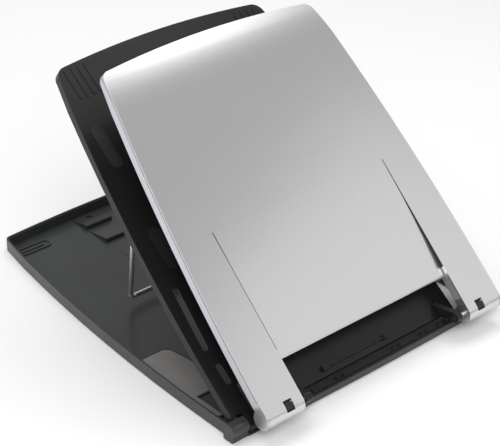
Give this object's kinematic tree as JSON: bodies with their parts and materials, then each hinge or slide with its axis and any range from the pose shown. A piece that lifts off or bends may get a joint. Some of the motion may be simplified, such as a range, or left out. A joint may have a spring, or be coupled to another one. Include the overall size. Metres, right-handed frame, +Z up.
{
  "type": "folding laptop cooling stand",
  "caption": "Folding three-layer laptop cooling stand: flat base tray, sloped vented deck on a wire bail, and a hinged lid with two front arms.",
  "frame": {"origin": "middle of the footprint, on the desk", "axes": "+Z up, +X to the right seen from the front, +Y to the rear, where the lid is highest"},
  "size_m": [0.3078, 0.3865, 0.2351],
  "materials": {
    "black_plastic": "satin moulded",
    "grey_plastic": "matte",
    "pad_plastic": "matte",
    "silver_paint": "satin silver",
    "silver_rim": "satin silver",
    "bright_steel": "polished",
    "rubber": "matte"
  },
  "bodies": {
    "base": {"base_tray": "black_plastic", "hinge_pod_left": "black_plastic", "hinge_pod_right": "black_plastic", "deck_hinge_pins": "bright_steel", "ratchet_rack": "black_plastic", "floor_panel_left": "grey_plastic", "floor_panel_right": "grey_plastic", "rubber_feet": "rubber", "base_screws": "bright_steel"},
    "deck": {"deck_tray": "black_plastic", "deck_pads": "pad_plastic", "deck_ear_left": "black_plastic", "deck_ear_right": "black_plastic", "lid_bracket_left": "black_plastic", "lid_bracket_right": "black_plastic", "lid_hinge_pins": "bright_steel", "friction_washers": "bright_steel", "bracket_screws": "bright_steel", "bail_saddles": "black_plastic"},
    "bail": {"prop_bail": "bright_steel"},
    "lid": {"lid_skin": "silver_paint", "panel_seals": "rubber", "lid_frame": "silver_rim", "lid_liner": "grey_plastic", "lid_screws": "bright_steel", "stop_pocket_left": "black_plastic", "stop_pocket_right": "black_plastic", "stop_pins": "bright_steel"},
    "stop_left": {"laptop_stop_left": "rubber"},
    "stop_right": {"laptop_stop_right": "rubber"}
  },
  "joints": [
    {"name": "deck_tilt", "type": "hinge", "parent": "base", "child": "deck", "pos_m": [0, -0.16965, 0.007], "axis": [1, 0, 0], "range_deg": [-36.8, 0]},
    {"name": "lid_tilt", "type": "hinge", "parent": "deck", "child": "lid", "pos_m": [0, -0.18485, 0.0208], "axis": [1, 0, 0], "range_deg": [-8.5, 12]},
    {"name": "bail_swing", "type": "hinge", "parent": "deck", "child": "bail", "pos_m": [0, -0.02757, 0.11423], "axis": [1, 0, 0], "range_deg": [-0.2, 96.3]},
    {"name": "stop_left_flip", "type": "hinge", "parent": "lid", "child": "stop_left", "pos_m": [0, -0.18707, 0.02756], "axis": [1, 0, 0], "range_deg": [-100, 0]},
    {"name": "stop_right_flip", "type": "hinge", "parent": "lid", "child": "stop_right", "pos_m": [0, -0.18707, 0.02756], "axis": [1, 0, 0], "range_deg": [-100, 0]}
  ],
  "couplings": [
    {"joint": "bail_swing", "follows": "deck_tilt", "ratio": -2.6114}
  ]
}
